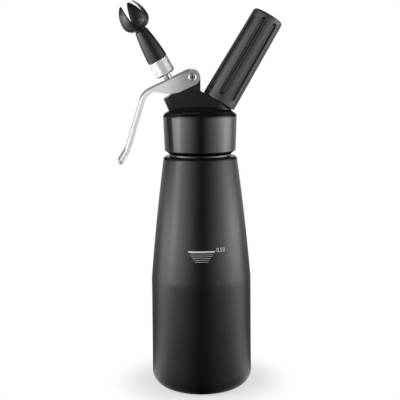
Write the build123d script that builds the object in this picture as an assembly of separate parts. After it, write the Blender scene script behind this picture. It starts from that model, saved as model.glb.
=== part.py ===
from build123d import *
import os
from math import cos, radians, sin, tan

# Whipped cream dispenser, 0.5 litre. Millimetres, +Z up, origin at the middle of the bottle's foot.
# The lever and the decorator tip are at -X, the charger holder is at +X.

# ---- bottle ----
FOOT_DIA = 81.0
BODY_DIA = 80.0
FOOT_ROUND = 10.8
BASE_WALL = 2.5
BODY_TOP = 89.0
BODY_CORNER_ROUND = 48.0
SHOULDER_DIA = 58.0
SHOULDER_TOP = 186.8
SHOULDER_ROUND = 2.4
TAPER_BULGE = 0.62
BOTTLE_WALL = 1.5
NECK_DIA = 46.0
NECK_HEIGHT = 19.2
NECK_ROOT_ROUND = 1.0
NECK_WALL = 2.5

# ---- fits ----
THREAD_PLAY = 0.08
RUNNING_PLAY = 0.06
SEAT_GAP = 0.1

# ---- head: collar and dome ----
COLLAR_LIP_DIA = 49.0
COLLAR_LIP_HEIGHT = 1.3
COLLAR_LOW_DIA = 56.3
COLLAR_TOP_DIA = 58.2
COLLAR_GAP = 0.6
COLLAR_CHAMFER = 2.8
COLLAR_HEIGHT = 26.6
COLLAR_EDGE_ROUND = 0.8
COLLAR_LEAD = 0.7
DOME_RISE = 8.4
GASKET_THICK = 1.8
GASKET_LAND = 3.2

# ---- head: the two arms ----
VERTEX_DROP = 1.3
NOZZLE_TILT = 29.5
HOLDER_TILT = 31.0
VALVE_FACE = 38.0
VALVE_END = 11.3
VALVE_END_DRAFT = 0.115
VALVE_END_LENGTH = 24.0
HOLDER_FACE = 28.7
ARM_THICK = 17.4
ARM_CORNER_ROUND = 4.0
ARM_END_X = 18.0
SWELL_START_X = -27.5
SWELL_HEIGHT = 21.0
ROOT_START = 17.4
ROOT_END_R = 12.4
ROOT_END_X = 13.8
CROWN_START = 14.0
CROWN_END_R = 10.6
CROWN_END_X = 11.4
CHEEK_STOP_X = -0.3
CHEEK_STOP_DROP = 0.8

# ---- lever ----
PIVOT_X = -6.8
PIVOT_RISE = 44.2
LUG_R = 4.5
LEVER_END_R = 6.2
LEVER_WIDTH = 21.0
LEVER_SHEET = 1.3
LEVER_BEND = 1.6
LEVER_SLOPE = 24.9
ELBOW_X = -45.3
ELBOW_ROUND = 15.0
FLARE_X = -59.3
FLARE_DROP = 55.1
FLARE_ROUND = 14.0
TIP_X = -64.8
TIP_DROP = 63.7
HANDLE_LIP = 3.8
CURL_R = 2.2
WEB_END_X = -9.5
CHEEK_LOW_X = -26.0
CHEEK_LOW_DROP = 12.5
CHEEK_HEEL_X = -38.4
CHEEK_HEEL_DEPTH = 3.0
CHEEK_TOE_X = -16.7
STEM_SLOT_LENGTH = 11.0
STEM_SLOT_WIDTH = 7.2
STEM_SLOT_SHIFT = 0.8

# ---- lever pivot ----
SCREW_R = 2.0
SCREW_HEAD_R = 3.1
SCREW_HEAD_HEIGHT = 1.7
SCREW_CROSS = 0.9
SCREW_CROSS_LENGTH = 3.6
SCREW_CROSS_DEPTH = 1.0
WASHER_R = 4.2
NUT_ACROSS = 7.0
NUT_HEIGHT = 3.0
NUT_DOME_R = 3.1
SIDE_GAP = 0.15

# ---- valve ----
STEM_R = 3.6
STEM_NECK_R = 3.05
STEM_BORE_R = 1.6
STEM_END_R = 2.0
STEM_FOOT = 3.4
STEM_TOP = 62.0
PORT_R = 1.4
PORT_LIFT = 1.6
SEAT_LEVEL = 9.0
SEAT_POCKET_R = 7.0
SEAL_R = 5.5
SEAL_THICK = 2.5
SEAL_NUT_R = 3.4
GLAND_R = 6.5
GLAND_LENGTH = 9.5
SPANNER_WIDTH = 1.6
SPANNER_DEPTH = 1.2
RING_SECTION_R = 1.0
PUSH_LEVEL = 46.3
PUSH_R = 5.6
PUSH_THICK = 1.2
SPRING_R = 4.7
SPRING_WIRE_R = 0.45
SPRING_TURNS = 3.5
SPRING_WIRE_SIDES = 8

# ---- adapter and decorator tip ----
ADAPTER_LOW = 53.0
ADAPTER_LENGTH = 12.6
ADAPTER_ACROSS = 15.2
ADAPTER_ROUND_R = 7.9
ADAPTER_CHAMFER = 1.4
SPIGOT_R = 5.0
SPIGOT_LENGTH = 8.0
TIP_GASKET_THICK = 0.6
TIP_GASKET_WIDTH = 1.9
TIP_LENGTH = 48.4
TIP_BASE_R = 8.1
TIP_SHANK_R = 7.25
TIP_SHANK_LEVEL = 11.5
TIP_CONE_R = 5.2
TIP_CONE_LEVEL = 25.0
TIP_WAIST_R = 4.4
TIP_WAIST_LEVEL = 26.0
TIP_BULB_FLOOR_R = 5.2
TIP_BULB_FLOOR = 26.6
TIP_BULB_R = 11.1
TIP_BULB_LEVEL = 34.6
TIP_MOUTH_R = 6.3
TIP_WALL = 1.6
TIP_BORE_R = 2.6
PETALS = 5
PETAL_SLOT_LEVEL = 32.4
PETAL_TIP_WIDTH = 1.4
PETAL_TURN = 50.0

# ---- charger holder ----
HOLDER_LENGTH = 77.0
HOLDER_LOW_R = 13.85
HOLDER_TOP_R = 12.6
HOLDER_LIFT = 0.35
HOLDER_TOP_ROUND = 2.2
HOLDER_LOW_ROUND = 0.6
HOLDER_BORE_R = 9.5
GROOVES = 8
GROOVE_WIDTH = 4.7
GROOVE_DEPTH = 1.85
GROOVE_LOW = 7.7
GROOVE_TOP = 70.9
GROOVE_TURN = -14.0
INSERT_SETBACK = 1.0
INSERT_WALL = 0.9
INSERT_LENGTH = 10.0

# ---- charger and its socket ----
SOCKET_R = 10.4
SOCKET_HEIGHT = 9.4
SOCKET_CHAMFER = 0.8
SOCKET_SPIGOT_R = 7.0
SOCKET_SPIGOT_LENGTH = 6.6
SOCKET_WELL_R = 4.6
SOCKET_WELL_DEPTH = 7.0
GAS_BORE_R = 1.2
PIN_BASE_THICK = 2.0
PIN_R = 1.0
PIN_BORE_R = 0.4
PIN_REACH = 3.0
INLET_SEAL_THICK = 2.4
CHARGER_R = 9.2
CHARGER_LENGTH = 65.5
CHARGER_NECK_R = 4.3
CHARGER_NECK_LENGTH = 7.0
CHARGER_SHOULDER = 9.0
CHARGER_WALL = 1.6
CHARGER_HOLE_R = 1.3

# ---- check valve ----
CHECK_X = 12.6
CHECK_PLUG_R = 4.4
CHECK_PLUG_LENGTH = 4.0
CHECK_FLAP_R = 3.8
CHECK_FLAP_THICK = 0.9
CHECK_STEM_R = 1.0
CHECK_KNOB_R = 1.4
CHECK_KNOB_HEIGHT = 0.8
CHECK_CHAMBER_R = 3.4
CHECK_CHAMBER_DEPTH = 1.0
CHECK_PORT_R = 0.5
CHECK_PORT_OFFSET = 2.3

# ---- worked out ----
NECK_R = NECK_DIA / 2
NECK_TOP = SHOULDER_TOP + NECK_HEIGHT
CEILING = NECK_TOP + GASKET_THICK + 2 * SEAT_GAP
COLLAR_LOW = SHOULDER_TOP + COLLAR_GAP
COLLAR_CORNER = COLLAR_LOW + COLLAR_LIP_HEIGHT + COLLAR_CHAMFER
COLLAR_TOP = COLLAR_CORNER + COLLAR_HEIGHT
DOME_TOP = COLLAR_TOP + DOME_RISE
VERTEX_Z = NECK_TOP - VERTEX_DROP
PIVOT_Z = VERTEX_Z + PIVOT_RISE
HEAD_BORE_R = NECK_R + THREAD_PLAY
LEVER_INNER = LEVER_WIDTH / 2 - LEVER_SHEET
WASHER_THICK = LEVER_INNER - ARM_THICK / 2 - SEAT_GAP
TIP_LEVEL = ADAPTER_LOW + ADAPTER_LENGTH + TIP_GASKET_THICK + SEAT_GAP
HOLDER_LOW = HOLDER_FACE + HOLDER_LIFT
HOLDER_TOP = HOLDER_LOW + HOLDER_LENGTH
SOCKET_TOP = HOLDER_FACE + SOCKET_HEIGHT
WELL_FLOOR = SOCKET_TOP - SOCKET_WELL_DEPTH
CHARGER_LOW = WELL_FLOOR + PIN_BASE_THICK + INLET_SEAL_THICK + SEAT_GAP
CHARGER_TOP = CHARGER_LOW + CHARGER_LENGTH

VALVE = Location(Plane(
    origin=(0, 0, VERTEX_Z),
    x_dir=(cos(radians(NOZZLE_TILT)), 0, sin(radians(NOZZLE_TILT))),
    z_dir=(-sin(radians(NOZZLE_TILT)), 0, cos(radians(NOZZLE_TILT))),
))
INLET = Location(Plane(
    origin=(0, 0, VERTEX_Z),
    x_dir=(cos(radians(HOLDER_TILT)), 0, -sin(radians(HOLDER_TILT))),
    z_dir=(sin(radians(HOLDER_TILT)), 0, cos(radians(HOLDER_TILT))),
))


# ---- helpers ----
def at(x, z):
    """Point in the XZ plane."""
    return (x, 0, z)


def turned(*corners):
    """Solid of revolution about Z from (radius, height) corners."""
    return revolve(make_face(Polyline([at(r, z) for r, z in corners], close=True)), Axis.Z)


def ring(outer, inner, low, high):
    """Sleeve or washer about Z."""
    return turned((inner, low), (outer, low), (outer, high), (inner, high))


def rod(radius, low, high):
    """Plain cylinder about Z between two heights."""
    return Pos(0, 0, low) * Cylinder(radius, high - low, align=(Align.CENTER, Align.CENTER, Align.MIN))


def rounded(face, x, z, radius):
    """Round the corner of an XZ face that lies at (x, z)."""
    corner = face.vertices().sort_by_distance(at(x, z))[0]
    return fillet(corner, radius)


def slab(face, width, middle=0.0):
    """XZ face given a width along Y."""
    return Pos(0, middle, 0) * extrude(face, amount=width / 2, dir=(0, 1, 0), both=True)


def across(solid):
    """Turn a solid built about Z so that it lies on the lever pivot, its top to the front."""
    return Pos(PIVOT_X, 0, PIVOT_Z) * Rot(90, 0, 0) * solid


def valve_point(perp, along):
    """(x, z) of a place given across and along the nozzle axis."""
    tilt = radians(NOZZLE_TILT)
    return perp * cos(tilt) - along * sin(tilt), VERTEX_Z + perp * sin(tilt) + along * cos(tilt)


def facet_height(x):
    """Height of the charger facet's plane at x."""
    tilt = radians(HOLDER_TILT)
    return VERTEX_Z + (HOLDER_FACE - x * sin(tilt)) / cos(tilt)


# ---- bottle ----
def bottle_outline(wall, neck_wall, base, top):
    """Half section of the bottle's skin, or of its inside when walls are given."""
    foot_r = FOOT_DIA / 2 - wall
    body_r = BODY_DIA / 2 - wall
    shoulder_r = SHOULDER_DIA / 2 - wall
    neck_r = NECK_DIA / 2 - neck_wall
    shoulder_z = SHOULDER_TOP - wall
    middle = at((body_r + shoulder_r) / 2 + TAPER_BULGE, (BODY_TOP + shoulder_z) / 2)
    edges = [
        Polyline(at(0, base), at(foot_r, base), at(body_r, BODY_TOP)),
        ThreePointArc(at(body_r, BODY_TOP), middle, at(shoulder_r, shoulder_z)),
        Polyline(
            at(shoulder_r, shoulder_z),
            at(neck_r, shoulder_z),
            at(neck_r, top),
            at(0, top),
            at(0, base),
        ),
    ]
    face = make_face(Curve() + edges)
    face = rounded(face, foot_r, base, FOOT_ROUND - wall)
    face = rounded(face, body_r, BODY_TOP, BODY_CORNER_ROUND)
    face = rounded(face, shoulder_r, shoulder_z, SHOULDER_ROUND)
    return rounded(face, neck_r, shoulder_z, NECK_ROOT_ROUND)


def bottle():
    skin = revolve(bottle_outline(0, 0, 0, NECK_TOP), Axis.Z)
    inside = revolve(bottle_outline(BOTTLE_WALL, NECK_WALL, BASE_WALL, NECK_TOP + 1), Axis.Z)
    return skin - inside


# ---- head ----
def collar():
    """Round skirt that screws onto the bottle's neck, closed by a low elliptical dome."""
    lip = COLLAR_LIP_DIA / 2
    rim = COLLAR_TOP_DIA / 2
    skirt = Polyline(
        at(0, DOME_TOP),
        at(0, COLLAR_LOW),
        at(lip, COLLAR_LOW),
        at(lip, COLLAR_LOW + COLLAR_LIP_HEIGHT),
        at(COLLAR_LOW_DIA / 2, COLLAR_CORNER),
        at(rim, COLLAR_TOP),
    )
    dome = Plane.XZ * EllipticalCenterArc((0, COLLAR_TOP), rim, DOME_RISE, arc_size=90)
    outline = make_face(Curve() + [skirt, dome])
    outline = rounded(outline, COLLAR_LOW_DIA / 2, COLLAR_CORNER, COLLAR_EDGE_ROUND)
    return revolve(outline, Axis.Z)


def valve_end():
    """(x, z) of the foot and the top of the valve arm's flat end."""
    foot = valve_point(-VALVE_END - VALVE_END_DRAFT * VALVE_END_LENGTH, VALVE_FACE - VALVE_END_LENGTH)
    return foot, valve_point(-VALVE_END, VALVE_FACE)


def arm_outline(end_x):
    """Side view of the arms: valve facet, lever lug, upright wall and charger facet."""
    tilt = radians(NOZZLE_TILT)
    pivot_perp = PIVOT_X * cos(tilt) + PIVOT_RISE * sin(tilt)
    foot, top = valve_end()
    corners = [
        foot,
        top,
        valve_point(pivot_perp - LUG_R, VALVE_FACE),
        (PIVOT_X, PIVOT_Z),
        (CHEEK_STOP_X, PIVOT_Z - CHEEK_STOP_DROP),
        (CHEEK_STOP_X, facet_height(CHEEK_STOP_X)),
        (end_x, facet_height(end_x)),
        (end_x, foot[1]),
    ]
    return make_face(Polyline([at(x, z) for x, z in corners], close=True))


def arms():
    """Flat-sided core of both arms, rounded at the end under the valve."""
    body = slab(arm_outline(ARM_END_X), ARM_THICK)
    foot, top = valve_end()
    corners = []
    for side in (-1, 1):
        middle = Vector((foot[0] + top[0]) / 2, side * ARM_THICK / 2, (foot[1] + top[1]) / 2)
        corners.append(body.edges().sort_by_distance(middle)[0])
    return fillet(corners, ARM_CORNER_ROUND)


def level_section(start, end_r, end_x, z):
    """Level section of the swelling: round under the charger, narrowing towards the valve."""
    low_end = Line((SWELL_START_X, -start / 2), (SWELL_START_X, start / 2))
    round_end = Pos(end_x, 0) * CenterArc((0, 0), end_r, 0, 360)
    return Pos(0, 0, z) * make_hull([low_end.edge(), round_end.edge()])


def swelling():
    """Drafted body that carries the charger's facet and flows into the flat core."""
    root = level_section(ROOT_START, ROOT_END_R, ROOT_END_X, COLLAR_TOP)
    crown = level_section(CROWN_START, CROWN_END_R, CROWN_END_X, COLLAR_TOP + SWELL_HEIGHT)
    return loft([root, crown]) & slab(arm_outline(COLLAR_TOP_DIA / 2), COLLAR_TOP_DIA)


def head_bores():
    """Everything cut from the head: neck bore, valve, charger socket, check valve and pivot."""
    seal_pocket = GLAND_LENGTH + 2 * RING_SECTION_R + SEAT_GAP
    lead_r = HEAD_BORE_R + COLLAR_LEAD
    return [
        rod(HEAD_BORE_R, COLLAR_LOW - 1, CEILING),
        turned((0, COLLAR_LOW), (lead_r, COLLAR_LOW), (HEAD_BORE_R, COLLAR_LOW + COLLAR_LEAD), (0, CEILING)),
        VALVE * rod(SEAT_POCKET_R, -STEM_FOOT, SEAT_LEVEL),
        VALVE * rod(STEM_R + RUNNING_PLAY, 0, VALVE_FACE + 1),
        VALVE * rod(STEM_R + 2 * RING_SECTION_R + SEAT_GAP, VALVE_FACE - seal_pocket, VALVE_FACE),
        VALVE * rod(GLAND_R, VALVE_FACE - GLAND_LENGTH, VALVE_FACE + 1),
        INLET * rod(SOCKET_SPIGOT_R, HOLDER_FACE - SOCKET_SPIGOT_LENGTH, HOLDER_FACE + 1),
        Pos(CHECK_X, 0, 0) * rod(CHECK_PLUG_R, CEILING - 1, CEILING + CHECK_PLUG_LENGTH),
        Pos(CHECK_X, 0, 0) * rod(GAS_BORE_R, CEILING, facet_height(CHECK_X) - SOCKET_SPIGOT_LENGTH),
        across(rod(SCREW_R, -ARM_THICK, ARM_THICK)),
    ]


def head():
    lug = across(rod(LUG_R, -ARM_THICK / 2, ARM_THICK / 2))
    casting = collar() + arms() + swelling() + lug
    for bore in head_bores():
        casting -= bore
    return casting


def head_gasket():
    return ring(NECK_R - SEAT_GAP, NECK_R - GASKET_LAND, NECK_TOP + SEAT_GAP, CEILING - SEAT_GAP)


# ---- lever ----
def lever_path():
    """Corners of the lever's outer face: web start, elbow, flare and tip."""
    slope = radians(LEVER_SLOPE)
    start = Vector(PIVOT_X - LEVER_END_R * sin(slope), 0, PIVOT_Z + LEVER_END_R * cos(slope))
    elbow = Vector(ELBOW_X, 0, start.Z + (ELBOW_X - start.X) * tan(slope))
    flare = Vector(FLARE_X, 0, PIVOT_Z - FLARE_DROP)
    return [start, elbow, flare, Vector(TIP_X, 0, PIVOT_Z - TIP_DROP)]


def inward(path, depth):
    """The same path moved towards the bottle by a depth, with its corners mitred."""
    normals = [Vector(-(b - a).normalized().Z, 0, (b - a).normalized().X) for a, b in zip(path, path[1:])]
    moved = [path[0] + normals[0] * depth]
    for corner, before, after in zip(path[1:], normals, normals[1:]):
        moved.append(corner + (before + after) * (depth / (1 + before.dot(after))))
    return moved + [path[-1] + normals[-1] * depth]


def lever_strip(depth):
    """Band of a given depth along the lever's outer face."""
    outer = lever_path()
    inner = inward(outer, depth)
    face = make_face(Polyline(outer + inner[::-1], close=True))
    rounds = [(outer[1], ELBOW_ROUND), (inner[1], ELBOW_ROUND - depth),
              (outer[2], FLARE_ROUND), (inner[2], FLARE_ROUND + depth)]
    for corner, radius in rounds:
        face = rounded(face, corner.X, corner.Z, radius)
    return face


def cheek_face():
    """Side plate of the lever, from its round end to the heel behind the elbow."""
    slope = radians(LEVER_SLOPE)
    start = lever_path()[0]
    pivot = Vector(PIVOT_X, 0, PIVOT_Z)
    low = pivot * 2 - start
    toe = low + Vector(CHEEK_TOE_X - low.X, 0, (CHEEK_TOE_X - low.X) * tan(slope))
    heel_top = start + Vector(CHEEK_HEEL_X - start.X, 0, (CHEEK_HEEL_X - start.X) * tan(slope))
    end = pivot + Vector(cos(slope), 0, sin(slope)) * LEVER_END_R
    heel = heel_top + Vector(sin(slope), 0, -cos(slope)) * CHEEK_HEEL_DEPTH
    edges = [
        ThreePointArc(low, end, start),
        Line(start, heel_top),
        Line(heel_top, heel),
        ThreePointArc(heel, at(CHEEK_LOW_X, PIVOT_Z - CHEEK_LOW_DROP), toe),
        Line(toe, low),
    ]
    return make_face(Curve() + edges)


def lever_channel():
    """Bent sheet along the whole lever: the web and two shallow lips."""
    band = lever_strip(HANDLE_LIP)
    web = lever_strip(LEVER_SHEET)
    body = slab(band, LEVER_WIDTH)
    bends = []
    for edge in body.edges():
        middle = edge @ 0.5
        if abs(middle.Y) > LEVER_INNER and web.distance_to(at(middle.X, middle.Z)) < SEAT_GAP:
            bends.append(edge)
    return fillet(bends, LEVER_BEND) - slab(band - web, 2 * LEVER_INNER)


def lever():
    cheek = cheek_face() - lever_strip(HANDLE_LIP)
    side = (LEVER_WIDTH - LEVER_SHEET) / 2
    body = lever_channel() + slab(cheek, LEVER_SHEET, side) + slab(cheek, LEVER_SHEET, -side)
    roll = Cylinder(CURL_R, LEVER_WIDTH) - Cylinder(CURL_R - LEVER_SHEET, LEVER_WIDTH)
    curl = Pos(*inward(lever_path(), CURL_R)[-1]) * Rot(90, 0, 0) * roll
    opening = extrude(SlotOverall(STEM_SLOT_LENGTH, STEM_SLOT_WIDTH), LEVER_END_R)
    slot = VALVE * Pos(STEM_SLOT_SHIFT, 0, PUSH_LEVEL) * opening
    beyond = (Align.MIN, Align.CENTER, Align.CENTER)
    web_cut = Box(4 * LEVER_END_R, 2 * LEVER_INNER, 4 * LEVER_END_R, align=beyond)
    pivot_hole = across(rod(SCREW_R + RUNNING_PLAY, -LEVER_WIDTH, LEVER_WIDTH))
    return body + curl - slot - Pos(WEB_END_X, 0, PIVOT_Z) * web_cut - pivot_hole


# ---- lever pivot ----
def pivot_screw():
    seat = LEVER_WIDTH / 2 + SIDE_GAP
    pan = rod(SCREW_HEAD_R, seat, seat + SCREW_HEAD_HEIGHT)
    pan = fillet(pan.edges().group_by(Axis.Z)[-1], SCREW_HEAD_HEIGHT / 2)
    notch = Pos(0, 0, seat + SCREW_HEAD_HEIGHT) * Box(SCREW_CROSS_LENGTH, SCREW_CROSS, 2 * SCREW_CROSS_DEPTH)
    return across(pan + rod(SCREW_R, -seat - NUT_HEIGHT, seat) - notch - Rot(0, 0, 90) * notch)


def pivot_nut():
    seat = LEVER_WIDTH / 2 + SIDE_GAP
    hexagon = extrude(RegularPolygon(NUT_ACROSS / 2, 6, major_radius=False), NUT_HEIGHT)
    cap = hexagon + Sphere(NUT_DOME_R, arc_size2=0) - rod(SCREW_R, 0, NUT_HEIGHT)
    return across(Pos(0, 0, -seat - NUT_HEIGHT) * cap)


def pivot_washers():
    inner = ARM_THICK / 2 + SEAT_GAP / 2
    return across(ring(WASHER_R, SCREW_R + RUNNING_PLAY, inner, inner + WASHER_THICK)
                  + ring(WASHER_R, SCREW_R + RUNNING_PLAY, -inner - WASHER_THICK, -inner))


# ---- valve ----
def valve_stem():
    seat = SEAT_LEVEL - SEAT_GAP
    port_level = SEAT_LEVEL + PORT_LIFT
    corners = [
        (0, STEM_FOOT),
        (STEM_END_R, STEM_FOOT),
        (STEM_END_R, seat),
        (STEM_R, seat),
        (STEM_R, PUSH_LEVEL),
        (STEM_NECK_R, PUSH_LEVEL),
        (STEM_NECK_R, STEM_TOP),
        (0, STEM_TOP),
    ]
    port = Pos(0, 0, port_level) * Rot(90, 0, 0) * Cylinder(PORT_R, 4 * STEM_R)
    return VALVE * (turned(*corners) - rod(STEM_BORE_R, port_level, STEM_TOP + 1) - port)


def stem_seal():
    top = SEAT_LEVEL - SEAT_GAP
    return VALVE * ring(SEAL_R, STEM_END_R, top - SEAL_THICK, top)


def seal_nut():
    top = SEAT_LEVEL - SEAT_GAP - SEAL_THICK
    hexagon = extrude(RegularPolygon(SEAL_NUT_R, 6, major_radius=False), top - STEM_FOOT)
    return VALVE * (Pos(0, 0, STEM_FOOT) * hexagon - rod(STEM_END_R, STEM_FOOT, top))


def stem_ring():
    level = VALVE_FACE - GLAND_LENGTH - RING_SECTION_R - SEAT_GAP / 2
    return VALVE * Pos(0, 0, level) * Torus(STEM_R + RUNNING_PLAY + RING_SECTION_R, RING_SECTION_R)


def valve_gland():
    plug = ring(GLAND_R, STEM_R + RUNNING_PLAY, VALVE_FACE - GLAND_LENGTH, VALVE_FACE)
    notch = Pos(0, 0, VALVE_FACE) * Box(2 * GLAND_R, SPANNER_WIDTH, 2 * SPANNER_DEPTH)
    return VALVE * (plug - notch)


def push_washer():
    return VALVE * ring(PUSH_R, STEM_NECK_R, PUSH_LEVEL, PUSH_LEVEL + PUSH_THICK)


def valve_spring():
    low = VALVE_FACE + SPRING_WIRE_R + SEAT_GAP
    high = PUSH_LEVEL - SPRING_WIRE_R - SEAT_GAP
    coil = Helix(pitch=(high - low) / SPRING_TURNS, height=high - low, radius=SPRING_R)
    section = Plane(origin=coil @ 0, z_dir=coil % 0) * RegularPolygon(SPRING_WIRE_R, SPRING_WIRE_SIDES)
    return VALVE * Pos(0, 0, low) * sweep(section, path=coil, is_frenet=True)


# ---- adapter and decorator tip ----
def tip_adapter():
    top = ADAPTER_LOW + ADAPTER_LENGTH
    body = rod(ADAPTER_ROUND_R, ADAPTER_LOW, top)
    body = chamfer(body.edges().group_by(Axis.Z)[0], ADAPTER_CHAMFER)
    hexagon = extrude(RegularPolygon(ADAPTER_ACROSS / 2, 6, major_radius=False), ADAPTER_LENGTH)
    flats = Pos(0, 0, ADAPTER_LOW) * hexagon
    spigot = rod(SPIGOT_R, top, top + SPIGOT_LENGTH)
    bores = [rod(STEM_NECK_R, ADAPTER_LOW, STEM_TOP), rod(TIP_BORE_R, STEM_TOP, top + SPIGOT_LENGTH)]
    return VALVE * ((body & flats) + spigot - bores)


def tip_gasket():
    low = ADAPTER_LOW + ADAPTER_LENGTH + SEAT_GAP / 2
    inner = SPIGOT_R + THREAD_PLAY
    return VALVE * ring(inner + TIP_GASKET_WIDTH, inner, low, low + TIP_GASKET_THICK)


def bulb_outline(inset):
    """Half section of the tulip's bulb, from its floor to the petal tips."""
    wide = at(TIP_BULB_R - inset, TIP_BULB_LEVEL)
    floor = at(TIP_BULB_FLOOR_R - inset, TIP_BULB_FLOOR + inset)
    mouth = at(TIP_MOUTH_R - inset, TIP_LENGTH)
    edges = [
        TangentArc(wide, floor, tangent=(0, 0, -1)),
        TangentArc(wide, mouth, tangent=(0, 0, 1)),
        Polyline(floor, at(0, TIP_BULB_FLOOR + inset), at(0, TIP_LENGTH), mouth),
    ]
    return make_face(Curve() + edges)


def petal_slots():
    """V cuts between the petals."""
    rise = TIP_LENGTH - PETAL_SLOT_LEVEL
    half = TIP_MOUTH_R * sin(radians(180 / PETALS)) - PETAL_TIP_WIDTH / 2
    wedge = make_face(Polyline((0, 0, 0), (half * 2, 0, rise * 2), (-half * 2, 0, rise * 2), close=True))
    cut = Pos(0, 0, PETAL_SLOT_LEVEL) * extrude(wedge, amount=2 * TIP_BULB_R, dir=(0, 1, 0))
    return [Rot(0, 0, PETAL_TURN + (k + 0.5) * 360 / PETALS) * cut for k in range(PETALS)]


def decorator_tip():
    base = at(TIP_BASE_R, 0)
    cone = at(TIP_CONE_R, TIP_CONE_LEVEL)
    side = ThreePointArc(base, at(TIP_SHANK_R, TIP_SHANK_LEVEL), cone)
    rest = Polyline(
        cone,
        at(TIP_WAIST_R, TIP_WAIST_LEVEL),
        at(TIP_WAIST_R, TIP_BULB_FLOOR + 1),
        at(0, TIP_BULB_FLOOR + 1),
        at(0, 0),
        base,
    )
    shank = revolve(make_face(Curve() + [side, rest]), Axis.Z)
    bulb = revolve(bulb_outline(0), Axis.Z) - revolve(bulb_outline(TIP_WALL), Axis.Z)
    socket = rod(SPIGOT_R + THREAD_PLAY, -1, SPIGOT_LENGTH + SEAT_GAP)
    bore = rod(TIP_BORE_R, 0, TIP_BULB_FLOOR + 2 * TIP_WALL)
    return VALVE * Pos(0, 0, TIP_LEVEL) * (shank + bulb - socket - bore - petal_slots())


# ---- charger holder ----
def groove(turn):
    """Round-ended flute along the holder's tapered side."""
    r = (GROOVE_WIDTH ** 2 / 4 + GROOVE_DEPTH ** 2) / (2 * GROOVE_DEPTH)
    slope = (HOLDER_TOP_R - HOLDER_LOW_R) / HOLDER_LENGTH
    middle_r = HOLDER_LOW_R - GROOVE_DEPTH + r
    ends = [Vector(middle_r + slope * s, 0, HOLDER_LOW + s) for s in (GROOVE_LOW, GROOVE_TOP)]
    path = Line(*ends)
    flute = sweep(Plane(origin=path @ 0, z_dir=path % 0) * Circle(r), path=path)
    return Rot(0, 0, turn) * (flute + [Pos(*end) * Sphere(r) for end in ends])


def charger_holder():
    shell = turned((0, HOLDER_LOW), (HOLDER_LOW_R, HOLDER_LOW), (HOLDER_TOP_R, HOLDER_TOP), (0, HOLDER_TOP))
    shell = fillet(shell.edges().group_by(Axis.Z)[-1], HOLDER_TOP_ROUND)
    shell = fillet(shell.edges().group_by(Axis.Z)[0], HOLDER_LOW_ROUND)
    grooves = [groove(GROOVE_TURN + k * 360 / GROOVES) for k in range(GROOVES)]
    bore = rod(HOLDER_BORE_R, HOLDER_LOW - 1, CHARGER_TOP - CHARGER_R + SEAT_GAP)
    end = Pos(0, 0, CHARGER_TOP - CHARGER_R + SEAT_GAP) * Sphere(HOLDER_BORE_R)
    mouth = rod(SOCKET_R + THREAD_PLAY + INSERT_WALL, HOLDER_LOW - 1, HOLDER_LOW + INSERT_LENGTH)
    return INLET * (shell - grooves - bore - end - mouth)


def holder_insert():
    inner = SOCKET_R + THREAD_PLAY
    low = HOLDER_LOW + INSERT_SETBACK
    return INLET * ring(inner + INSERT_WALL, inner, low, HOLDER_LOW + INSERT_LENGTH)


# ---- charger and its socket ----
def charger_socket():
    spigot = rod(SOCKET_SPIGOT_R, HOLDER_FACE - SOCKET_SPIGOT_LENGTH, HOLDER_FACE)
    boss = rod(SOCKET_R, HOLDER_FACE, SOCKET_TOP)
    boss = chamfer(boss.edges().group_by(Axis.Z)[-1], SOCKET_CHAMFER)
    well = rod(SOCKET_WELL_R, WELL_FLOOR, SOCKET_TOP + 1)
    return INLET * (spigot + boss - well - rod(GAS_BORE_R, 0, SOCKET_TOP))


def piercing_pin():
    base = rod(SOCKET_WELL_R, WELL_FLOOR, WELL_FLOOR + PIN_BASE_THICK)
    tip = CHARGER_LOW + PIN_REACH
    shank = tip - 2 * PIN_R
    needle = turned((0, WELL_FLOOR), (PIN_R, WELL_FLOOR), (PIN_R, shank), (PIN_BORE_R, tip), (0, tip))
    return INLET * (base + needle - rod(PIN_BORE_R, 0, tip + 1))


def inlet_seal():
    low = WELL_FLOOR + PIN_BASE_THICK
    return INLET * ring(SOCKET_WELL_R, PIN_R + RUNNING_PLAY, low, low + INLET_SEAL_THICK)


def charger_outline(inset):
    """Half section of the gas charger's skin, or of its inside."""
    neck = CHARGER_NECK_R - inset
    body = CHARGER_R - inset
    low = CHARGER_LOW + inset
    shoulder = CHARGER_LOW + CHARGER_NECK_LENGTH
    full = shoulder + CHARGER_SHOULDER
    crown = CHARGER_TOP - CHARGER_R
    half = body * sin(radians(45))
    edges = [
        Polyline(at(0, low), at(neck, low), at(neck, shoulder)),
        Line(at(neck, shoulder), at(body, full)),
        Line(at(body, full), at(body, crown)),
        ThreePointArc(at(body, crown), at(half, crown + half), at(0, crown + body)),
        Line(at(0, crown + body), at(0, low)),
    ]
    face = make_face(Curve() + edges)
    return rounded(face, body, full, CHARGER_SHOULDER)


def gas_charger():
    shell = revolve(charger_outline(0), Axis.Z) - revolve(charger_outline(CHARGER_WALL), Axis.Z)
    return INLET * (shell - rod(CHARGER_HOLE_R, CHARGER_LOW - 1, CHARGER_LOW + 2 * CHARGER_WALL))


# ---- check valve ----
def check_plug():
    top = CEILING + CHECK_PLUG_LENGTH
    chamber = rod(CHECK_CHAMBER_R, top - CHECK_CHAMBER_DEPTH, top + 1)
    port = Pos(CHECK_PORT_OFFSET, 0, 0) * rod(CHECK_PORT_R, CEILING - 1, top)
    ports = [Rot(0, 0, turn) * port for turn in (0, 90, 180, 270)]
    plug = rod(CHECK_PLUG_R, CEILING, top) - chamber - ports - rod(CHECK_STEM_R, CEILING - 1, top)
    return Pos(CHECK_X, 0, 0) * plug


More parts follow.
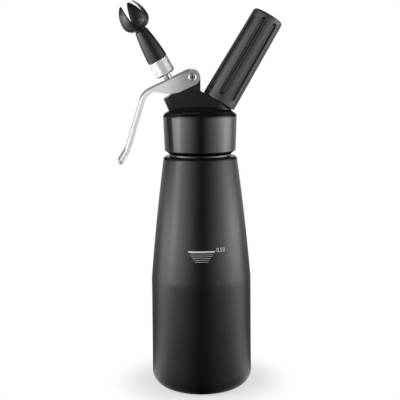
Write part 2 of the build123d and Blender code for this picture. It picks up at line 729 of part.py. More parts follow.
def check_flap():
    knob_low = CEILING + CHECK_PLUG_LENGTH - CHECK_CHAMBER_DEPTH
    disc = rod(CHECK_FLAP_R, CEILING - CHECK_FLAP_THICK, CEILING)
    knob = rod(CHECK_KNOB_R, knob_low, knob_low + CHECK_KNOB_HEIGHT)
    return Pos(CHECK_X, 0, 0) * (disc + rod(CHECK_STEM_R, CEILING, knob_low) + knob)


PARTS = [
    bottle, head, head_gasket, lever, pivot_screw, pivot_nut, pivot_washers,
    valve_stem, stem_seal, seal_nut, stem_ring, valve_gland, push_washer, valve_spring,
    tip_adapter, tip_gasket, decorator_tip,
    charger_holder, holder_insert, charger_socket, piercing_pin, inlet_seal, gas_charger,
    check_plug, check_flap,
]


def main():
    os.makedirs("parts", exist_ok=True)
    for make in PARTS:
        export_step(make(), f"parts/{make.__name__}.step")


main()
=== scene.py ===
from math import atan, cos, pi, radians, sin

import bpy
from mathutils import Matrix, Vector
from mathutils.bvhtree import BVHTree

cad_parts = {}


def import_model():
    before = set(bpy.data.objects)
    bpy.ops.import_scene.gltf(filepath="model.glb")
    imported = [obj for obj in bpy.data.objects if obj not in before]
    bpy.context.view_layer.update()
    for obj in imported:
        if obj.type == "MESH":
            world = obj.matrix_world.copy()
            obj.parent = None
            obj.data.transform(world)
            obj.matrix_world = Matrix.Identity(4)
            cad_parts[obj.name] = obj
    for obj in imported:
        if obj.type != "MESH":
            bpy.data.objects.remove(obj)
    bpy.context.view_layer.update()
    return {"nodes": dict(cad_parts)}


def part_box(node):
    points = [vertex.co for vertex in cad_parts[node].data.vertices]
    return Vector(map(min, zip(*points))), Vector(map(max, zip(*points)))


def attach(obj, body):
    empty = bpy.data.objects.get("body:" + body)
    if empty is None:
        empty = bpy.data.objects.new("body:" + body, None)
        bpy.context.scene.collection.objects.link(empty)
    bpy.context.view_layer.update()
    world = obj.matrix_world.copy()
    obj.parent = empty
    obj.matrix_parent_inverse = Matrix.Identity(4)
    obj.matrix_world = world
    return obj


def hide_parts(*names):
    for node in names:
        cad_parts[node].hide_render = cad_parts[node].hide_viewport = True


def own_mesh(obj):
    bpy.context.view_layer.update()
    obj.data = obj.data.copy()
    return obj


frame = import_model()

# Lengths are in metres and colours are linear. A name that ends in STEP holds where a soft step starts and
# where it ends.

# ---- axes ----
# The nozzle and the charger holder lean along axes that cross at the vertex.
VERTEX = Vector((0, 0, 0.2047))
NOZZLE_TILT = radians(29.5)
HOLDER_TILT = radians(31.0)
NOZZLE = Matrix.Translation(VERTEX) @ Matrix.Rotation(-NOZZLE_TILT, 4, "Y")
HOLDER = Matrix.Translation(VERTEX) @ Matrix.Rotation(HOLDER_TILT, 4, "Y")
PIVOT = Vector((-0.0068, 0, 0.2489))
WEB_SLOPE = radians(24.9)

# ---- camera ----
# It fits the photograph's outline. The focal length and the aim are in pixels of the photograph, and the
# roll is in radians.
FRAME_WIDTH = 400
SENSOR_WIDTH = 36.0
CAMERA_FOCAL = 872.25
CAMERA_AIM = 0.6
CAMERA_YAW = radians(6.0)
CAMERA_PITCH = radians(9.16)
CAMERA_ROLL = 0.0081
CAMERA_AWAY = 0.690
CAMERA_HEIGHT = 0.2624
CLIP_NEAR = 0.01
CLIP_FAR = 50.0
RIGHT = Vector((cos(CAMERA_YAW), -sin(CAMERA_YAW), 0))
BEHIND = Vector((sin(CAMERA_YAW), cos(CAMERA_YAW), 0))
UP = Vector((0, 0, 1))

# ---- surfaces ----
# Nearly all of a noise's values lie in this range. Its scale is in cells to the metre.
NOISE_RANGE = (0.3, 0.7)
PATCH_SCALE = 35.0
PATCH_DETAIL = 3.0
HANDLING_SCALE = 90.0
TURNED_MARK_SCALE = 120.0
MARK_DETAIL = 4.0
LINE_DETAIL = 3.0
GRAIN_DETAIL = 2.0

# How far the roughness strays on coated, drawn and turned surfaces, as shares of it.
COATED_GLOSS = (0.94, 1.06)
DRAWN_GLOSS = (0.8, 1.2)
TURNED_GLOSS = (0.8, 1.25)

# The lever is rubbed smoother along X, up to the pivot, to a share of its roughness. The web's top face is
# where the cosine of the angle to the web's normal is high; it is rougher there and darkened with painted
# shade.
RUBBED_STEP = (-0.040, -0.004)
RUBBED_SHARE = 0.36
WEB_TOP_STEP = (0.60, 0.85)
WEB_TOP_PAINTED_SHADE = (0.34, 0.34, 0.335)

# The low dome on the head's collar. The arms, made paler with painted light, start outside it, by shares of
# its rise and its size.
COLLAR_TOP = 0.2178
DOME_RADIUS = 0.0291
DOME_RISE = 0.0084
ARM_LIGHT_RISE_STEP = (0.02, 0.08)
ARM_LIGHT_REACH_STEP = (1.02, 1.10)
ARM_PAINTED_LIGHT = (0.0175, 0.0175, 0.0180)

# The cross recess of the pivot screw, darkened with painted shade: its reach from the axis, and its mouth
# and floor from the front.
RECESS_REACH_STEP = (0.00188, 0.00196)
RECESS_MOUTH_STEP = (0.0002, 0.0005)
RECESS_FLOOR_STEP = (0.0014, 0.0016)
RECESS_PAINTED_SHADE = (0.10, 0.10, 0.10)

# Along the holder's axis: up to where the socket's brass is black with painted shadow, and the ends and
# radii of the holder's skin, which is a cone. The grooves darken with painted shade over this depth under
# it.
BRASS_FOOT_STEP = (0.0302, 0.0306)
HOLDER_ENDS = (0.02905, 0.10605)
HOLDER_RADII = (0.01385, 0.0126)
GROOVE_DEPTH_STEP = (0.00012, 0.0007)
SHADOW_BLACK = (0.004, 0.004, 0.004)

# The height where the bottle's lacquer ends and its neck is bare.
LACQUER_END_STEP = (0.1873, 0.1876)
BARE_ALUMINIUM = (0.62, 0.62, 0.63)

# ---- pieces ----
# The return spring's wire, along the nozzle's axis from the vertex, with part of a turn closed at each end.
SPRING_LOW = 0.03855
SPRING_HIGH = 0.04575
SPRING_RADIUS = 0.0047
SPRING_WIRE_RADIUS = 0.00045
SPRING_TURNS = 5.0
SPRING_CLOSED_TURNS = 0.75
SPRING_STEPS = 200

# The filling mark on the bottle's front: a heavy line, thinner ones that narrow below it, and a number.
MARK_FACING = radians(-95.3)
MARK_RADIUS = 0.0389
MARK_LIFT = 0.00007
STRIPE_CELLS = 40
HEAVY_WIDTH = 0.0215
HEAVY_LEVEL = 0.11665
HEAVY_HEIGHT = 0.00125
THIN_LINES = 5
THIN_WIDTH = 0.0190
THIN_NARROWING = 0.0021
THIN_LEVEL = 0.1145
THIN_SPACING = 0.00138
THIN_HEIGHT = 0.00022
NUMBER_SIZE = 0.0044
NUMBER_ALONG = 0.0158
NUMBER_LEVEL = 0.1163

# A thread's ridge: how deep its root lies in the core, its half widths as shares of the pitch, and the turns
# over which it runs out at each end.
THREAD_SINK = 0.00015
THREAD_ROOT_SHARE = 0.36
THREAD_CREST_SHARE = 0.1
THREAD_RUN_OUT = 0.25
THREAD_TURN_STEPS = 72

# The shoulders that the socket's and the spigot's threads start from, along their own axes.
SOCKET_SHOULDER = 0.0287
SPIGOT_SHOULDER = 0.0656

# ---- studio ----
# Upright softboxes: degrees round from the camera's side, and radiance.
LEFT_BANK = ((-12, 0.22), (-26, 0.7), (-40, 1.35), (-54, 2.0), (-70, 4.6), (-86, 0.5))
RIGHT_BANK = ((26, 0.23), (40, 0.58), (54, 1.03), (70, 2.0), (86, 2.2), (102, 1.0), (118, 0.4))
PANEL_AWAY = 1.05
PANEL_WIDE = 0.30
PANEL_LOW = 0.01
PANEL_HIGH = 1.1

# The softbox overhead, between the camera and the object.
TOP_WIDE = 1.2
TOP_DEEP = 0.6
TOP_RADIANCE = 0.1
TOP_NEARER = 0.75
TOP_LEVEL = 1.15
TOP_AIM_LEVEL = 0.2

# The camera sees the floor's own colour and the shadow out to FLOOR_STEP, and white beyond it. FLOOR_GLOW is
# light that only the camera sees.
FLOOR_SIZE = 12
FLOOR_COLOUR = (0.40, 0.40, 0.40, 1)
FLOOR_ROUGHNESS = 0.9
FLOOR_GLOW = 0.57
FLOOR_STEP = (0.042, 0.080)

# What glossy surfaces see of the floor: radiance by the cosine from straight behind, and a share of that by
# the metres from the object.
FLOOR_ROUND = ((-1.0, 0.05), (-0.97, 0.35), (-0.89, 0.85), (-0.77, 1.3), (-0.59, 1.9), (-0.36, 3.0),
               (-0.07, 5.0), (0.24, 3.6), (0.5, 0.6), (0.85, 0.6), (1.0, 0.4))
FLOOR_REACH = ((0.03, 0.22), (0.1, 0.27), (0.3, 0.33), (1.0, 0.74), (1.6, 0.95), (2.2, 1.0), (4.0, 2.2))

# Glossy surfaces see white straight behind the object, from these cosines up, and ROOM_LEVEL of the world
# elsewhere. FILL_LEVEL is the light that the world sheds on the object.
FLOOR_BEHIND_STEP = (0.94, 0.99)
WORLD_BEHIND_STEP = (0.93, 0.985)
ROOM_LEVEL = 0.03
FILL_LEVEL = 0.30


# ---- shader nodes ----
def blank(name):
    """New material, its node tree and its Principled shader."""
    mat = bpy.data.materials.new(name)
    mat.use_nodes = True
    return mat, *shader(mat)


def shader(mat):
    """A material's node tree and its Principled shader."""
    return mat.node_tree, mat.node_tree.nodes["Principled BSDF"]


def put(tree, kind, **values):
    """Adds a node, with its properties and its inputs' values set by name."""
    node = tree.nodes.new(kind)
    for key, value in values.items():
        if hasattr(node, key):
            setattr(node, key, value)
        else:
            node.inputs[key.replace("_", " ")].default_value = value
    return node


def fed(tree, kind, *sources, **values):
    """Adds a node as put does, and links outputs to its first inputs in order."""
    node = put(tree, kind, **values)
    for source, socket in zip(sources, node.inputs):
        tree.links.new(source, socket)
    return node


def math_of(tree, operation, first, second):
    """Sum, difference or product of two outputs."""
    return fed(tree, "ShaderNodeMath", first, second, operation=operation).outputs[0]


def length(tree, vector):
    """Length of a vector."""
    return fed(tree, "ShaderNodeVectorMath", vector, operation="LENGTH").outputs["Value"]


def split(tree, vector):
    """A vector's X, Y and Z outputs."""
    return fed(tree, "ShaderNodeSeparateXYZ", vector).outputs


def from_axis(tree, first, second):
    """Distance from an axis, by the two coordinates across it."""
    return length(tree, fed(tree, "ShaderNodeCombineXYZ", first, second).outputs["Vector"])


def facing(tree, vector, way):
    """Cosine of the angle between a direction and a way."""
    unit = fed(tree, "ShaderNodeVectorMath", vector, operation="NORMALIZE")
    dot = fed(tree, "ShaderNodeVectorMath", unit.outputs["Vector"], operation="DOT_PRODUCT")
    dot.inputs[1].default_value = way
    return dot.outputs["Value"]


def object_place(tree):
    """Object coordinates, which are the frame's own."""
    return tree.nodes.new("ShaderNodeTexCoord").outputs["Object"]


def placed(tree, stretch=(1, 1, 1), turn=(0, 0, 0), base=(0, 0, 0)):
    """Object coordinates with their own origin and axes, stretched."""
    kind = "ShaderNodeMapping"
    moved = fed(tree, kind, object_place(tree), vector_type="TEXTURE", Location=base, Rotation=turn)
    return fed(tree, kind, moved.outputs["Vector"], vector_type="POINT", Scale=stretch).outputs["Vector"]


def noise(tree, vector, scale, detail):
    """Cloudy noise."""
    return fed(tree, "ShaderNodeTexNoise", vector, Scale=scale, Detail=detail).outputs["Fac"]


def mapped(tree, value, start, end, low, high, kind="LINEAR"):
    """Carries a number from one range over to another, and holds it at the ends."""
    node = fed(tree, "ShaderNodeMapRange", value, interpolation_type=kind,
               From_Min=start, From_Max=end, To_Min=low, To_Max=high)
    return node.outputs["Result"]


def smooth(tree, value, step, low=0.0, high=1.0):
    """Soft step from one value to another."""
    return mapped(tree, value, *step, low, high, kind="SMOOTHSTEP")


def blended(tree, share, low, high):
    """Mix of two numbers or outputs."""
    node = put(tree, "ShaderNodeMix", data_type="FLOAT")
    tree.links.new(share, node.inputs["Factor"])
    for name, value in (("A", low), ("B", high)):
        if isinstance(value, float):
            node.inputs[name].default_value = value
        else:
            tree.links.new(value, node.inputs[name])
    return node.outputs["Result"]


def tinted(tree, share, first, second):
    """Mix of two colours, the first of which may be an output."""
    node = put(tree, "ShaderNodeMix", data_type="RGBA")
    tree.links.new(share, node.inputs["Factor"])
    pair = [s for s in node.inputs if s.type == "RGBA"]
    if isinstance(first, tuple):
        pair[0].default_value = (*first, 1)
    else:
        tree.links.new(first, pair[0])
    pair[1].default_value = (*second, 1)
    return [s for s in node.outputs if s.type == "RGBA"][0]


def ramp(tree, value, stops):
    """Number read off a line through (place, number) stops."""
    first, last = stops[0][0], stops[-1][0]
    peak = max(number for place, number in stops)
    line = fed(tree, "ShaderNodeValToRGB", mapped(tree, value, first, last, 0.0, 1.0))
    marks = line.color_ramp.elements
    marks[0].position, marks[1].position = 0.0, 1.0
    for place, number in stops[1:-1]:
        marks.new((place - first) / (last - first))
    for mark, (place, number) in zip(marks, stops):
        mark.color = (number / peak, number / peak, number / peak, 1)
    scaled = fed(tree, "ShaderNodeMath", line.outputs["Color"], operation="MULTIPLY")
    scaled.inputs[1].default_value = peak
    return scaled.outputs[0]


def glow(tree, strength):
    """White light given off at a strength."""
    node = tree.nodes.new("ShaderNodeEmission")
    tree.links.new(strength, node.inputs["Strength"])
    return node.outputs[0]


def sees_background(tree):
    """Two outputs: 1 for camera rays, and 1 for camera, glossy and transmission rays."""
    path = tree.nodes.new("ShaderNodeLightPath").outputs
    first = math_of(tree, "ADD", path["Is Camera Ray"], path["Is Glossy Ray"])
    total = fed(tree, "ShaderNodeMath", first, path["Is Transmission Ray"], operation="ADD", use_clamp=True)
    return path["Is Camera Ray"], total.outputs[0]


# ---- materials ----
def surface(tree, bsdf, colour, roughness, grain, height):
    """Feeds the shader its colour and roughness, and a relief of a height from a grain."""
    tree.links.new(colour, bsdf.inputs["Base Color"])
    tree.links.new(roughness, bsdf.inputs["Roughness"])
    bump = put(tree, "ShaderNodeBump", Distance=height)
    tree.links.new(grain, bump.inputs["Height"])
    tree.links.new(bump.outputs["Normal"], bsdf.inputs["Normal"])


def strayed(tree, value, rough, shares):
    """A roughness that strays with a noise, by shares of it."""
    return mapped(tree, value, *NOISE_RANGE, *(rough * share for share in shares))


def coated(name, dark, light, rough, peel, peel_size):
    """Sprayed coat or moulded plastic: fine peel, with patches a little glossier than the rest."""
    mat, tree, bsdf = blank(name)
    where = placed(tree)
    fine = noise(tree, where, 1 / peel_size, GRAIN_DETAIL)
    broad = noise(tree, where, PATCH_SCALE, PATCH_DETAIL)
    roughness = strayed(tree, broad, rough, COATED_GLOSS)
    surface(tree, bsdf, tinted(tree, broad, dark, light), roughness, fine, peel)
    return mat


def metal(name, dark, light, rough, line_size, line_height, stretch=(1, 1, 1), turn=(0, 0, 0)):
    """Polished or drawn metal: fine lines along one way, with faint handling marks."""
    mat, tree, bsdf = blank(name)
    lines = noise(tree, placed(tree, stretch, turn), 1 / line_size, LINE_DETAIL)
    marks = noise(tree, placed(tree), HANDLING_SCALE, MARK_DETAIL)
    roughness = strayed(tree, lines, rough, DRAWN_GLOSS)
    surface(tree, bsdf, tinted(tree, marks, dark, light), roughness, lines, line_height)
    bsdf.inputs["Metallic"].default_value = 1.0
    return mat


def turned(name, dark, light, rough, pitch, depth, tilt):
    """Turned metal: fine rings about the nozzle's, the holder's or the bottle's axis."""
    mat, tree, bsdf = blank(name)
    where = placed(tree, turn=(0, tilt, 0), base=VERTEX)
    wave = put(tree, "ShaderNodeTexNoise", noise_dimensions="1D", Scale=1 / pitch, Detail=GRAIN_DETAIL)
    tree.links.new(split(tree, where)["Z"], wave.inputs["W"])
    rings = wave.outputs["Fac"]
    marks = noise(tree, where, TURNED_MARK_SCALE, MARK_DETAIL)
    roughness = strayed(tree, rings, rough, TURNED_GLOSS)
    surface(tree, bsdf, tinted(tree, marks, dark, light), roughness, rings, depth)
    bsdf.inputs["Metallic"].default_value = 1.0
    return mat


def source(bsdf, name):
    """What feeds one of the shader's inputs."""
    return bsdf.inputs[name].links[0].from_socket


def overlay(tree, bsdf, share, colour):
    """Lays a colour over a material's own, by a share."""
    tree.links.new(tinted(tree, share, source(bsdf, "Base Color"), colour), bsdf.inputs["Base Color"])


def lever_steel():
    """Satin steel, rubbed smoother towards the pivot, rougher and darkened with painted shade on the web's
    top face.
    """
    mat = metal("lever_steel", dark=(0.88, 0.88, 0.875), light=(0.92, 0.92, 0.915), rough=0.80,
                line_size=0.0003, line_height=0.4e-6, stretch=(0.06, 1, 1), turn=(0, -WEB_SLOPE, 0))
    tree, bsdf = shader(mat)
    where = tree.nodes.new("ShaderNodeTexCoord").outputs
    wear = smooth(tree, split(tree, where["Object"])["X"], RUBBED_STEP, 1.0, RUBBED_SHARE)
    rubbed = math_of(tree, "MULTIPLY", source(bsdf, "Roughness"), wear)
    upward = facing(tree, where["Normal"], (-sin(WEB_SLOPE), 0, cos(WEB_SLOPE)))
    top = smooth(tree, upward, WEB_TOP_STEP)
    tree.links.new(blended(tree, top, rubbed, 1.0), bsdf.inputs["Roughness"])
    # Painted shade: the web's top face is darkened to stand in for the dark reflection it shows.
    overlay(tree, bsdf, top, WEB_TOP_PAINTED_SHADE)
    return mat


def head_lacquer():
    """Black lacquer, with painted light making the arms a little paler than the collar and its dome."""
    mat = coated("head_lacquer", dark=(0.0030, 0.0030, 0.0032), light=(0.0042, 0.0042, 0.0044), rough=0.22,
                 peel=0.8e-6, peel_size=0.0007)
    tree, bsdf = shader(mat)
    dome = placed(tree, (1 / DOME_RADIUS, 1 / DOME_RADIUS, 1 / DOME_RISE), base=(0, 0, COLLAR_TOP))
    above = smooth(tree, split(tree, dome)["Z"], ARM_LIGHT_RISE_STEP)
    outside = smooth(tree, length(tree, dome), ARM_LIGHT_REACH_STEP)
    # Painted light: the arms are paler to stand in for the light they reflect.
    overlay(tree, bsdf, math_of(tree, "MULTIPLY", above, outside), ARM_PAINTED_LIGHT)
    return mat


def screw_steel():
    """Polished steel, with painted shade in the cross recess of the pivot screw's head."""
    mat = metal("screw_steel", dark=(0.82, 0.82, 0.815), light=(0.88, 0.88, 0.875), rough=0.30,
                line_size=0.0002, line_height=0.3e-6)
    tree, bsdf = shader(mat)
    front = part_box("pivot_screw")[0][1]
    where = split(tree, placed(tree, base=(PIVOT[0], front, PIVOT[2])))
    recess_shade = smooth(tree, from_axis(tree, where["X"], where["Z"]), RECESS_REACH_STEP, 1.0, 0.0)
    recess_shade = math_of(tree, "MULTIPLY", recess_shade, smooth(tree, where["Y"], RECESS_MOUTH_STEP))
    recess_shade = math_of(tree, "MULTIPLY", recess_shade, smooth(tree, where["Y"], RECESS_FLOOR_STEP, 1.0, 0.0))
    # Painted shade darkens the cross recess.
    overlay(tree, bsdf, recess_shade, RECESS_PAINTED_SHADE)
    return mat


def inlet_brass():
    """Turned brass, with painted shadow at the foot of the socket where it meets the head."""
    mat = turned("inlet_brass", dark=(0.66, 0.50, 0.26), light=(0.78, 0.61, 0.34), rough=0.25,
                 pitch=0.0002, depth=2e-6, tilt=HOLDER_TILT)
    tree, bsdf = shader(mat)
    along = split(tree, placed(tree, turn=(0, HOLDER_TILT, 0), base=VERTEX))["Z"]
    foot_shadow = smooth(tree, along, BRASS_FOOT_STEP, 1.0, 0.0)
    # Painted shadow: the brass turns black and not metallic at the seam with the head.
    overlay(tree, bsdf, foot_shadow, SHADOW_BLACK)
    tree.links.new(blended(tree, foot_shadow, 1.0, 0.0), bsdf.inputs["Metallic"])
    return mat


def holder_plastic():
    """Moulded plastic, plain on the lands and darkened with painted shade in the grooves."""
    mat = coated("holder_plastic", dark=(0.044, 0.044, 0.045), light=(0.056, 0.056, 0.057), rough=0.30,
                 peel=2e-6, peel_size=0.0004)
    tree, bsdf = shader(mat)
    where = split(tree, placed(tree, turn=(0, HOLDER_TILT, 0), base=VERTEX))
    skin = mapped(tree, where["Z"], *HOLDER_ENDS, *HOLDER_RADII)
    depth = math_of(tree, "SUBTRACT", skin, from_axis(tree, where["X"], where["Y"]))
    # Painted shade: the grooves darken with depth under the skin.
    overlay(tree, bsdf, smooth(tree, depth, GROOVE_DEPTH_STEP), SHADOW_BLACK)
    return mat


def bottle_lacquer():
    """Black lacquer on the outside, bare aluminium on the neck."""
    mat = coated("bottle_lacquer", dark=(0.0034, 0.0034, 0.0036), light=(0.0048, 0.0048, 0.0050), rough=0.30,
                 peel=1.2e-6, peel_size=0.0006)
    tree, bsdf = shader(mat)
    bare = mapped(tree, split(tree, object_place(tree))["Z"], *LACQUER_END_STEP, 0.0, 1.0)
    overlay(tree, bsdf, bare, BARE_ALUMINIUM)
    tree.links.new(bare, bsdf.inputs["Metallic"])
    return mat


def adapter_steel():
    """Satin stainless steel of the hexagon adapter and its thread."""
    return turned("adapter_steel", dark=(0.74, 0.74, 0.735), light=(0.80, 0.80, 0.795), rough=0.60,
                  pitch=0.00025, depth=0.3e-6, tilt=-NOZZLE_TILT)


def stem_steel():
    """Polished stainless steel of the valve."""
    return turned("stem_steel", dark=(0.66, 0.66, 0.655), light=(0.76, 0.76, 0.755), rough=0.18,
                  pitch=0.0002, depth=1.5e-6, tilt=-NOZZLE_TILT)


def charger_zinc():
    """Zinc-coated steel of the gas charger."""
    return turned("charger_zinc", dark=(0.52, 0.53, 0.55), light=(0.62, 0.63, 0.65), rough=0.32,
                  pitch=0.0009, depth=4e-6, tilt=HOLDER_TILT)


def aluminium():
    """Bare aluminium of the neck's thread."""
    return turned("aluminium", dark=(0.58, 0.58, 0.59), light=(0.66, 0.66, 0.67), rough=0.25,
                  pitch=0.0002, depth=0.5e-6, tilt=0)


def spring_steel():
    """Drawn wire of the return spring."""
    return metal("spring_steel", dark=(0.5, 0.5, 0.5), light=(0.62, 0.62, 0.61), rough=0.25,
                 line_size=0.0002, line_height=1e-6)


def black_rubber():
    """Rubber of the small seals."""
    return coated("black_rubber", dark=(0.018, 0.018, 0.018), light=(0.028, 0.028, 0.028), rough=0.62,
                  peel=10e-6, peel_size=0.0003)


def silicone():
    """Pale silicone of the head gasket."""
    return coated("silicone", dark=(0.42, 0.42, 0.40), light=(0.52, 0.52, 0.50), rough=0.5,
                  peel=10e-6, peel_size=0.0004)


def nylon():
    """Nylon of the washers beside the lever's cheeks."""
    return coated("nylon", dark=(0.62, 0.61, 0.57), light=(0.70, 0.69, 0.65), rough=0.45,
                  peel=10e-6, peel_size=0.0004)


def tip_plastic():
    """Smooth moulded plastic of the decorator tip."""
    return coated("tip_plastic", dark=(0.0085, 0.0085, 0.0088), light=(0.0105, 0.0105, 0.0108), rough=0.34,
                  peel=0.8e-6, peel_size=0.0008)


def white_ink():
    """Printed ink of the filling mark and its number."""
    return coated("white_ink", dark=(0.66, 0.66, 0.66), light=(0.74, 0.74, 0.74), rough=0.5,
                  peel=4e-6, peel_size=0.0002)


def dress():
    """Gives every CAD node its material."""
    wears = {
        bottle_lacquer(): ["bottle"],
        head_lacquer(): ["head"],
        lever_steel(): ["lever"],
        screw_steel(): ["pivot_screw", "pivot_nut"],
        adapter_steel(): ["tip_adapter"],
        stem_steel(): ["valve_stem", "valve_gland", "push_washer", "seal_nut"],
        inlet_brass(): ["charger_socket", "holder_insert", "piercing_pin", "check_plug"],
        charger_zinc(): ["gas_charger"],
        spring_steel(): ["valve_spring"],
        black_rubber(): ["stem_ring", "stem_seal", "tip_gasket", "inlet_seal", "check_flap"],
        silicone(): ["head_gasket"],
        nylon(): ["pivot_washers"],
        holder_plastic(): ["charger_holder"],
        tip_plastic(): ["decorator_tip"],
    }
    for mat, names in wears.items():
        for name in names:
            mesh = frame["nodes"][name].data
            mesh.materials.clear()
            mesh.materials.append(mat)


# ---- pieces that the solids leave to the scene ----
def show(name, data):
    """New object of a name, in the scene."""
    thing = bpy.data.objects.new(name, data)
    bpy.context.scene.collection.objects.link(thing)
    return thing


def solid_from(curve, name):
    """A mesh object made from a curve or a text."""
    maker = show(name + "_maker", curve)
    bpy.context.view_layer.update()
    mesh = bpy.data.meshes.new_from_object(maker.evaluated_get(bpy.context.evaluated_depsgraph_get()))
    bpy.data.objects.remove(maker)
    for face in mesh.polygons:
        face.use_smooth = True
    return show(name, mesh)


def mesh_from(name, verts, faces):
    """A mesh object made from corners and faces."""
    mesh = bpy.data.meshes.new(name)
    mesh.from_pydata(verts, [], faces)
    return show(name, mesh)


def spring_coil():
    """The valve's return spring, closed at both ends."""
    rising_turns = SPRING_TURNS - 2 * SPRING_CLOSED_TURNS
    curve = bpy.data.curves.new("spring_path", "CURVE")
    curve.dimensions = "3D"
    curve.bevel_depth = SPRING_WIRE_RADIUS
    curve.bevel_resolution = 3
    curve.use_fill_caps = True
    line = curve.splines.new("POLY")
    line.points.add(SPRING_STEPS)
    for i, point in enumerate(line.points):
        turns = i / SPRING_STEPS * SPRING_TURNS
        angle = turns * 2 * pi
        rise = min(max((turns - SPRING_CLOSED_TURNS) / rising_turns, 0), 1)
        level = SPRING_LOW + (SPRING_HIGH - SPRING_LOW) * rise
        point.co = (*(NOZZLE @ Vector((SPRING_RADIUS * cos(angle), SPRING_RADIUS * sin(angle), level))), 1)
    return solid_from(curve, "spring_coil")


def bottle_skin():
    """Search tree over the bottle's CAD mesh."""
    mesh = frame["nodes"]["bottle"].data
    return BVHTree.FromPolygons([v.co for v in mesh.vertices], [tuple(p.vertices) for p in mesh.polygons])


def on_bottle(skin, along, z):
    """Point just off the bottle's front, at a distance to the right of the mark's middle and a height."""
    angle = MARK_FACING + along / MARK_RADIUS
    out = Vector((cos(angle), sin(angle), 0))
    place = skin.ray_cast(out * (2 * MARK_RADIUS) + UP * z, -out)[0]
    return place + out * MARK_LIFT


def level_mark():
    """Printed filling mark: one heavy line, and thinner ones narrowing below it."""
    verts, faces = [], []
    skin = bottle_skin()

    def stripe(width, z, height):
        first = len(verts)
        for i in range(STRIPE_CELLS + 1):
            along = width * (i / STRIPE_CELLS - 0.5)
            verts.append(on_bottle(skin, along, z - height / 2))
            verts.append(on_bottle(skin, along, z + height / 2))
        for i in range(STRIPE_CELLS):
            a = first + 2 * i
            faces.append((a, a + 2, a + 3, a + 1))

    stripe(HEAVY_WIDTH, HEAVY_LEVEL, HEAVY_HEIGHT)
    for k in range(THIN_LINES):
        stripe(THIN_WIDTH - THIN_NARROWING * k, THIN_LEVEL - THIN_SPACING * k, THIN_HEIGHT)
    return mesh_from("level_mark", verts, faces)


def level_number():
    """The volume beside the mark, as a plain number."""
    text = bpy.data.curves.new("level_number", "FONT")
    text.body = "0.50"
    text.size = NUMBER_SIZE
    text.align_x = "CENTER"
    text.resolution_u = 6
    piece = solid_from(text, "level_number")
    skin = bottle_skin()
    for vertex in piece.data.vertices:
        vertex.co = on_bottle(skin, NUMBER_ALONG + vertex.co.x, NUMBER_LEVEL + vertex.co.y)
    return piece


def thread_ridge(name, place, radius, pitch, low, high, height):
    """Right-hand ridge of a screw thread on a plain core, four corners across, running out at both ends."""
    turns = (high - low) / pitch
    steps = int(turns * THREAD_TURN_STEPS)
    verts, faces = [], []
    for i in range(steps + 1):
        share = i / steps
        angle = 2 * pi * turns * share
        out = Vector((cos(angle), sin(angle), 0))
        grown = min(1, turns * min(share, 1 - share) / THREAD_RUN_OUT)
        middle = low + (high - low) * share
        crest = radius + height * grown
        root = radius - THREAD_SINK
        for r, lift in ((root, -THREAD_ROOT_SHARE), (crest, -THREAD_CREST_SHARE),
                        (crest, THREAD_CREST_SHARE), (root, THREAD_ROOT_SHARE)):
            verts.append(place @ (out * r + UP * (middle + lift * pitch)))
    for i in range(steps):
        for k in range(4):
            a, b = 4 * i + k, 4 * i + (k + 1) % 4
            faces.append((a, a + 4, b + 4, b))
    faces.append((0, 1, 2, 3))
    faces.append(tuple(4 * steps + k for k in (3, 2, 1, 0)))
    return mesh_from(name, verts, faces)


def thread(body, mat, name, place, **sizes):
    """A thread's ridge in a material, riding on a body."""
    piece = thread_ridge(name, place, **sizes)
    piece.data.materials.append(mat)
    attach(piece, body)


def threads():
    """The three outside threads, which show when what they hold is screwed off."""
    thread("bottle", aluminium(), "neck_thread", Matrix.Identity(4),
           radius=0.023, pitch=0.003, low=0.1892, high=0.2042, height=0.0008)
    low, high = SOCKET_SHOULDER + 0.0017, SOCKET_SHOULDER + 0.0076
    thread("head", bpy.data.materials["inlet_brass"], "socket_thread", HOLDER,
           radius=0.0104, pitch=0.002, low=low, high=high, height=0.00055)
    low, high = SPIGOT_SHOULDER + 0.0014, SPIGOT_SHOULDER + 0.0053
    thread("valve", bpy.data.materials["adapter_steel"], "spigot_thread", NOZZLE,
           radius=0.005, pitch=0.0015, low=low, high=high, height=0.0004)


def extras():
    """The spring's coil, the threads and the print."""
    coil = spring_coil()
    coil.data.materials.append(bpy.data.materials["spring_steel"])
    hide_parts("valve_spring")
    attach(coil, "head")
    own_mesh(coil)
    threads()
    white = white_ink()
    for piece in (level_mark(), level_number()):
        piece.data.materials.append(white)
        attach(piece, "bottle")


# ---- studio ----
def softbox(name, place, way, wide, tall, radiance):
    """Rectangular lamp that shines one way, which the camera doesn't see."""
    lamp = bpy.data.lights.new(name, "AREA")
    lamp.shape = "RECTANGLE"
    lamp.size = wide
    lamp.size_y = tall
    lamp.energy = radiance * pi * wide * tall
    box = show(name, lamp)
    box.location = place
    box.rotation_euler = way.to_track_quat("-Z", "Y").to_euler()
    box.visible_camera = False


def lamps():
    """A bank of softboxes on each side, brightest abreast of the object, and one overhead."""
    for side, bank in (("left", LEFT_BANK), ("right", RIGHT_BANK)):
        for azimuth, radiance in bank:
            inward = BEHIND * cos(radians(azimuth)) - RIGHT * sin(radians(azimuth))
            place = inward * -PANEL_AWAY + UP * (PANEL_LOW + PANEL_HIGH) / 2
            name = f"{side}_panel_{abs(azimuth)}"
            softbox(name, place, inward, PANEL_WIDE, PANEL_HIGH - PANEL_LOW, radiance)
    place = BEHIND * -TOP_NEARER + UP * TOP_LEVEL
    softbox("top_panel", place, UP * TOP_AIM_LEVEL - place, TOP_WIDE, TOP_DEEP, TOP_RADIANCE)


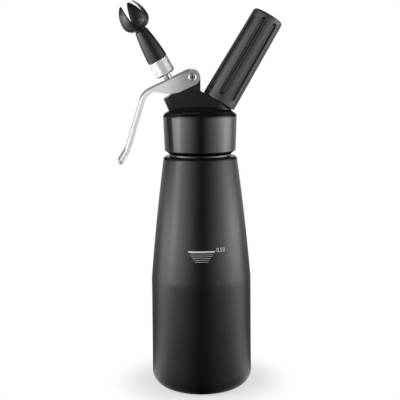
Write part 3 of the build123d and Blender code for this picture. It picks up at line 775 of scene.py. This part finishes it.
def floor():
    """Pale floor that takes the shadow near the object; mirrors see it dark in front of the object."""
    bpy.ops.mesh.primitive_plane_add(size=FLOOR_SIZE)
    plane = bpy.context.object
    plane.name = "floor"
    mat, tree, bsdf = blank("floor")
    bsdf.inputs["Base Color"].default_value = FLOOR_COLOUR
    bsdf.inputs["Roughness"].default_value = FLOOR_ROUGHNESS
    bsdf.inputs["Specular IOR Level"].default_value = 0.0
    camera_ray, sees = sees_background(tree)
    where = object_place(tree)
    reach = length(tree, where)
    behind = facing(tree, where, BEHIND)
    mirrored = math_of(tree, "MULTIPLY", ramp(tree, behind, FLOOR_ROUND), ramp(tree, reach, FLOOR_REACH))
    mirrored = blended(tree, smooth(tree, behind, FLOOR_BEHIND_STEP), mirrored, 1.0)
    lift = glow(tree, blended(tree, camera_ray, 0.0, FLOOR_GLOW))
    near = fed(tree, "ShaderNodeAddShader", bsdf.outputs[0], lift).outputs[0]
    far = glow(tree, blended(tree, camera_ray, mirrored, 1.0))
    share = blended(tree, camera_ray, sees, smooth(tree, reach, FLOOR_STEP))
    whole = fed(tree, "ShaderNodeMixShader", share, near, far).outputs[0]
    tree.links.new(whole, tree.nodes["Material Output"].inputs["Surface"])
    plane.data.materials.append(mat)


def world():
    """White behind the object, dim elsewhere."""
    studio_world = bpy.data.worlds.new("studio")
    bpy.context.scene.world = studio_world
    studio_world.use_nodes = True
    tree = studio_world.node_tree
    base = tree.nodes["Background"]
    base.inputs["Color"].default_value = (1, 1, 1, 1)
    camera_ray, sees = sees_background(tree)
    where = tree.nodes.new("ShaderNodeTexCoord").outputs["Generated"]
    mirrored = smooth(tree, facing(tree, where, BEHIND), WORLD_BEHIND_STEP, ROOM_LEVEL, 1.0)
    unseen = blended(tree, sees, FILL_LEVEL, mirrored)
    tree.links.new(blended(tree, camera_ray, unseen, 1.0), base.inputs["Strength"])


def camera():
    """Camera at the photograph's viewing angle."""
    lens = bpy.data.cameras.new("camera")
    lens.sensor_width = SENSOR_WIDTH
    lens.lens = SENSOR_WIDTH * CAMERA_FOCAL / FRAME_WIDTH
    lens.clip_start = CLIP_NEAR
    lens.clip_end = CLIP_FAR
    yaw = CAMERA_YAW - atan(CAMERA_AIM / CAMERA_FOCAL)
    forward = Vector((sin(yaw) * cos(CAMERA_PITCH), cos(yaw) * cos(CAMERA_PITCH), -sin(CAMERA_PITCH)))
    across = Vector((cos(yaw), -sin(yaw), 0))
    upright = across.cross(forward)
    right = across * cos(CAMERA_ROLL) - upright * sin(CAMERA_ROLL)
    up = upright * cos(CAMERA_ROLL) + across * sin(CAMERA_ROLL)
    turn = Matrix((right, up, -forward)).transposed()
    view = show("camera", lens)
    view.matrix_world = Matrix.Translation(BEHIND * -CAMERA_AWAY + UP * CAMERA_HEIGHT) @ turn.to_4x4()
    bpy.context.scene.camera = view


dress()
extras()
lamps()
floor()
world()
camera()
bpy.context.scene.view_settings.view_transform = "Standard"
